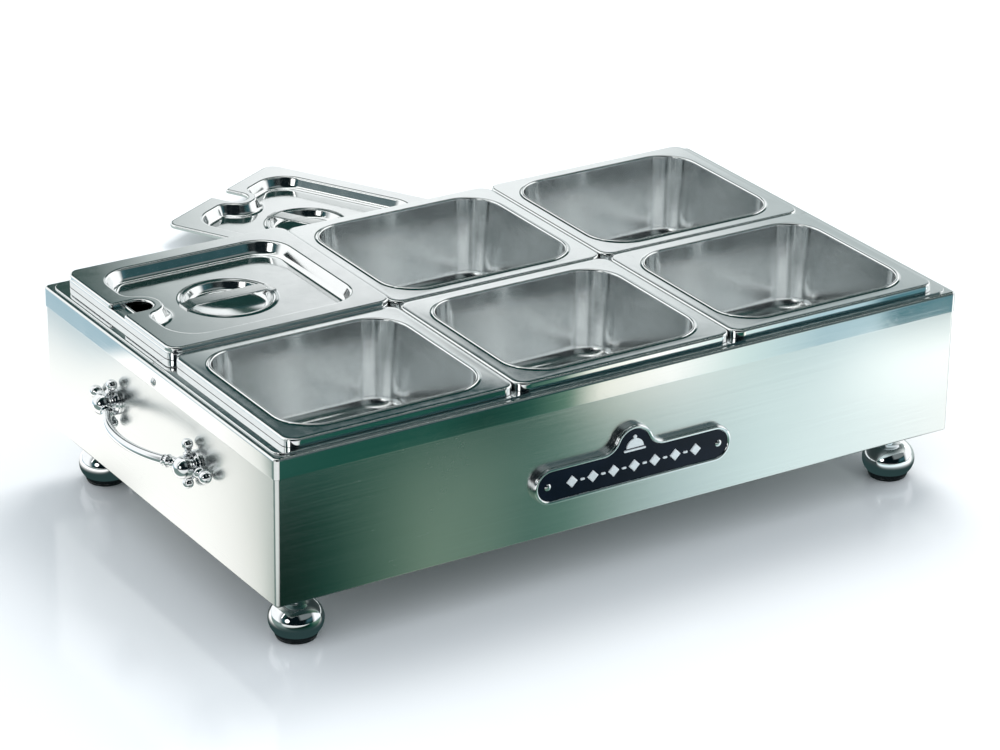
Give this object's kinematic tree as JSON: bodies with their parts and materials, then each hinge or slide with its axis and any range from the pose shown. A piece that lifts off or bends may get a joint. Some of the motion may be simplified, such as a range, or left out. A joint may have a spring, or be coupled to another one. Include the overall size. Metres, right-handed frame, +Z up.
{
  "type": "electric buffet server",
  "caption": "Low heated stainless case on ball feet, holding lift-out pans with pressed lids, carrying handles at the ends and controls at the back.",
  "frame": {"origin": "centre of the case's footprint, on the table that the feet stand on", "axes": "+Z up; -Y towards the guests' side with the name plate; +Y towards the operator's side with the controls; +X to the right seen from the front"},
  "size_m": [0.6168, 0.7704, 0.1589],
  "materials": {
    "casing_steel": "horizontally brushed stainless sheet",
    "collar_steel": "finely brushed stainless with a softened bright edge",
    "deck_steel": "polished stainless",
    "pan_steel": "bright polished pressed stainless, duller inside",
    "lid_steel": "bright polished pressed stainless",
    "strap_steel": "satin stainless strap",
    "foot_chrome": "mirror chrome on turned brass",
    "foot_rubber": "matt moulded rubber",
    "handle_chrome": "mirror chrome on casting",
    "plate_chrome": "chrome-plated casting",
    "plate_enamel": "dark blue-black stoved enamel, gloss",
    "fixing_steel": "bright zinc-plated steel",
    "base_steel": "mill-finish stainless sheet",
    "knob_black": "black phenolic, fine satin",
    "control_black": "black nylon, fine spark texture",
    "rocker_red": "red translucent plastic, gloss",
    "lamp_amber": "amber plastic lens",
    "contact_brass": "nickelled brass contacts",
    "ceramic_cream": "cream steatite and nylon",
    "copper_tube": "drawn copper tube and bulb",
    "element_sheath": "dark oxidised alloy sheath",
    "reflector_foil": "bright aluminised sheet",
    "fibre_blanket": "needled glass fibre",
    "wire_sleeve": "woven silicone sleeving"
  },
  "bodies": {
    "server": {"casing_wrap": "casing_steel", "top_collar": "collar_steel", "base_plate": "base_steel", "well_tray": "deck_steel", "cross_bar_left": "deck_steel", "cross_bar_right": "deck_steel", "mid_bar_left": "deck_steel", "mid_bar_centre": "deck_steel", "mid_bar_right": "deck_steel", "bar_rests": "fixing_steel", "foot_ball_front_left": "foot_chrome", "foot_ball_front_right": "foot_chrome", "foot_ball_back_left": "foot_chrome", "foot_ball_back_right": "foot_chrome", "foot_pad_front_left": "foot_rubber", "foot_pad_front_right": "foot_rubber", "foot_pad_back_left": "foot_rubber", "foot_pad_back_right": "foot_rubber", "foot_nuts": "fixing_steel", "handle_bow_left": "handle_chrome", "handle_bow_right": "handle_chrome", "handle_mount_left_front": "handle_chrome", "handle_mount_left_back": "handle_chrome", "handle_mount_right_front": "handle_chrome", "handle_mount_right_back": "handle_chrome", "handle_nuts": "fixing_steel", "collar_screws": "fixing_steel", "plate_body": "plate_chrome", "plate_field": "plate_enamel", "plate_motif": "plate_chrome", "plate_studs": "plate_chrome", "thermostat": "ceramic_cream", "sensing_bulb": "copper_tube", "thermal_cutout": "fixing_steel", "switch_housing": "control_black", "lamp_body": "fixing_steel", "lamp_lens": "lamp_amber", "inlet_housing": "control_black", "inlet_pins": "contact_brass", "inlet_screws": "fixing_steel", "terminal_block": "ceramic_cream", "earth_stud": "contact_brass", "heater_element": "element_sheath", "element_clips": "fixing_steel", "heat_reflector": "reflector_foil", "insulation": "fibre_blanket", "wiring_loom": "wire_sleeve"},
    "pan_front_left_body": {"pan_front_left": "pan_steel"},
    "pan_front_centre_body": {"pan_front_centre": "pan_steel"},
    "pan_front_right_body": {"pan_front_right": "pan_steel"},
    "pan_back_left_body": {"pan_back_left": "pan_steel"},
    "pan_back_centre_body": {"pan_back_centre": "pan_steel"},
    "pan_back_right_body": {"pan_back_right": "pan_steel"},
    "pan_lid_body": {"pan_lid": "lid_steel", "pan_lid_handle": "strap_steel"},
    "aside_lid_body": {"aside_lid": "lid_steel", "aside_lid_handle": "strap_steel"},
    "knob_body": {"control_knob": "knob_black", "thermostat_spindle": "fixing_steel"},
    "rocker_body": {"switch_rocker": "rocker_red"}
  },
  "joints": [
    {"name": "pan_front_left_lift", "type": "slide", "parent": "server", "child": "pan_front_left_body", "axis": [0, 0, 1], "range_m": [0, 0.15]},
    {"name": "pan_front_centre_lift", "type": "slide", "parent": "server", "child": "pan_front_centre_body", "axis": [0, 0, 1], "range_m": [0, 0.15]},
    {"name": "pan_front_right_lift", "type": "slide", "parent": "server", "child": "pan_front_right_body", "axis": [0, 0, 1], "range_m": [0, 0.15]},
    {"name": "pan_back_left_lift", "type": "slide", "parent": "server", "child": "pan_back_left_body", "axis": [0, 0, 1], "range_m": [0, 0.15]},
    {"name": "pan_back_centre_lift", "type": "slide", "parent": "server", "child": "pan_back_centre_body", "axis": [0, 0, 1], "range_m": [0, 0.15]},
    {"name": "pan_back_right_lift", "type": "slide", "parent": "server", "child": "pan_back_right_body", "axis": [0, 0, 1], "range_m": [0, 0.15]},
    {"name": "pan_lid_lift", "type": "slide", "parent": "pan_back_left_body", "child": "pan_lid_body", "axis": [0, 0, 1], "range_m": [0, 0.12]},
    {"name": "aside_lid_lift", "type": "slide", "parent": "server", "child": "aside_lid_body", "axis": [0, 0, 1], "range_m": [0, 0.15]},
    {"name": "thermostat_turn", "type": "hinge", "parent": "server", "child": "knob_body", "pos_m": [0.15, 0.177, 0.066], "axis": [0, 1, 0], "range_deg": [0, 270]},
    {"name": "switch_rock", "type": "hinge", "parent": "server", "child": "rocker_body", "pos_m": [0.05, 0.17, 0.066], "axis": [1, 0, 0], "range_deg": [-20, 0]}
  ]
}
